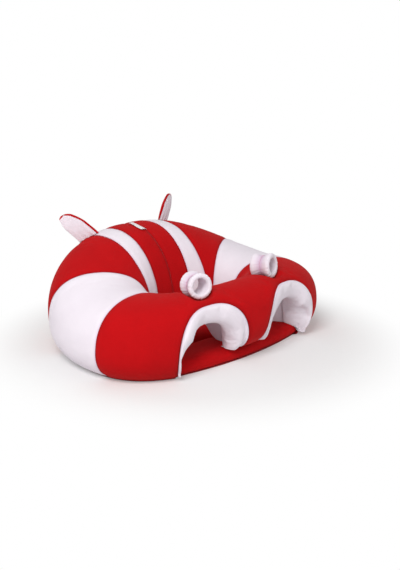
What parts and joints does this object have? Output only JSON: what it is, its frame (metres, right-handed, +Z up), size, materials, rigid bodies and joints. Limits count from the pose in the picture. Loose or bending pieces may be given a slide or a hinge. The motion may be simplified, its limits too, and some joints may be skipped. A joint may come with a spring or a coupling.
{
  "type": "baby support seat",
  "caption": "Soft padded ring-shaped floor seat that holds a sitting baby: tall back, arms, padded leg arches, front post, rail cuffs and ears.",
  "frame": {"origin": "middle of the flat underside, on the floor, level with the widest part of the wall", "axes": "+Z up; -Y the way the sitter faces; +X to the sitter's left"},
  "size_m": [0.5636, 0.4187, 0.2399],
  "materials": {
    "red_plush": "short soft pile",
    "white_plush": "short soft pile",
    "wadding": "loose polyester stuffing",
    "bottom_cloth": "plain woven",
    "white_tape": "plain woven ribbon, left bare",
    "thread": "gathering thread",
    "zip_tape": "woven tape",
    "zip_plastic": "moulded nylon",
    "zip_metal": "plated die casting"
  },
  "bodies": {
    "seat": {"back_panel_left": "red_plush", "back_stripe_left": "white_plush", "shoulder_panel_left": "red_plush", "arm_band_left": "white_plush", "shoulder_filling_left": "wadding", "arm_filling_left": "wadding", "front_corner_filling_left": "wadding", "leg_arch_padding_left": "wadding", "leg_arch_lip_cover_left": "white_plush", "leg_arch_lining_left": "white_plush", "back_panel_right": "red_plush", "back_stripe_right": "white_plush", "shoulder_panel_right": "red_plush", "arm_band_right": "white_plush", "shoulder_filling_right": "wadding", "arm_filling_right": "wadding", "front_corner_filling_right": "wadding", "leg_arch_padding_right": "wadding", "leg_arch_lip_cover_right": "white_plush", "leg_arch_lining_right": "white_plush", "front_panel": "red_plush", "back_filling": "wadding", "post_filling": "wadding", "bottom_cloth_panel": "bottom_cloth", "seat_cushion_filling": "wadding", "seat_cushion_cover": "red_plush", "leg_pad_filling": "wadding", "leg_pad_cover": "red_plush", "zip_tape_upper": "zip_tape", "zip_tape_lower": "zip_tape", "zip_coil": "zip_plastic", "zip_end_stops": "zip_metal"},
    "ear_left": {"ear_left_wadding": "wadding", "ear_left_face": "white_plush", "ear_left_back": "red_plush"},
    "horn_left": {"horn_left_wadding": "wadding", "horn_left_sleeve": "white_plush", "horn_left_bore_lining": "white_plush", "horn_left_thread": "thread"},
    "ear_right": {"ear_right_wadding": "wadding", "ear_right_face": "white_plush", "ear_right_back": "red_plush"},
    "horn_right": {"horn_right_wadding": "wadding", "horn_right_sleeve": "white_plush", "horn_right_bore_lining": "white_plush", "horn_right_thread": "thread"},
    "label": {"label_tag": "white_tape"},
    "zip_slider_body": {"zip_slider": "zip_metal"},
    "zip_pull_body": {"zip_pull": "zip_metal"}
  },
  "joints": [
    {"name": "ear_left_fold", "type": "hinge", "parent": "seat", "child": "ear_left", "pos_m": [0.09889, 0.19657, 0.19132], "axis": [0.8725, 0.3278, -0.3624], "range_deg": [-45, 45], "stiffness_Nm_per_rad": 0.2},
    {"name": "ear_right_fold", "type": "hinge", "parent": "seat", "child": "ear_right", "pos_m": [-0.09889, 0.19657, 0.19132], "axis": [0.8725, -0.3278, 0.3624], "range_deg": [-45, 45], "stiffness_Nm_per_rad": 0.2},
    {"name": "horn_left_rock", "type": "hinge", "parent": "seat", "child": "horn_left", "pos_m": [0.09199, -0.09413, 0.1381], "axis": [0.2852, -0.9507, 0.1219], "range_deg": [-15, 15], "stiffness_Nm_per_rad": 0.5},
    {"name": "horn_right_rock", "type": "hinge", "parent": "seat", "child": "horn_right", "pos_m": [-0.09199, -0.09413, 0.1381], "axis": [0.2852, 0.9507, -0.1219], "range_deg": [-15, 15], "stiffness_Nm_per_rad": 0.5},
    {"name": "label_flip", "type": "hinge", "parent": "seat", "child": "label", "pos_m": [0, 0.1563, 0.20351], "axis": [0, -0.9866, -0.163], "range_deg": [-160, 0], "stiffness_Nm_per_rad": 0.002},
    {"name": "zip_slider_travel", "type": "hinge", "parent": "seat", "child": "zip_slider_body", "pos_m": [0, -0.48892, 0], "axis": [0, 0, 1], "range_deg": [0, 10.9]},
    {"name": "zip_pull_swing", "type": "hinge", "parent": "zip_slider_body", "child": "zip_pull_body", "pos_m": [0.06713, 0.21216, 0.03142], "axis": [0.9954, -0.0953, 0], "range_deg": [-28, 100]}
  ]
}
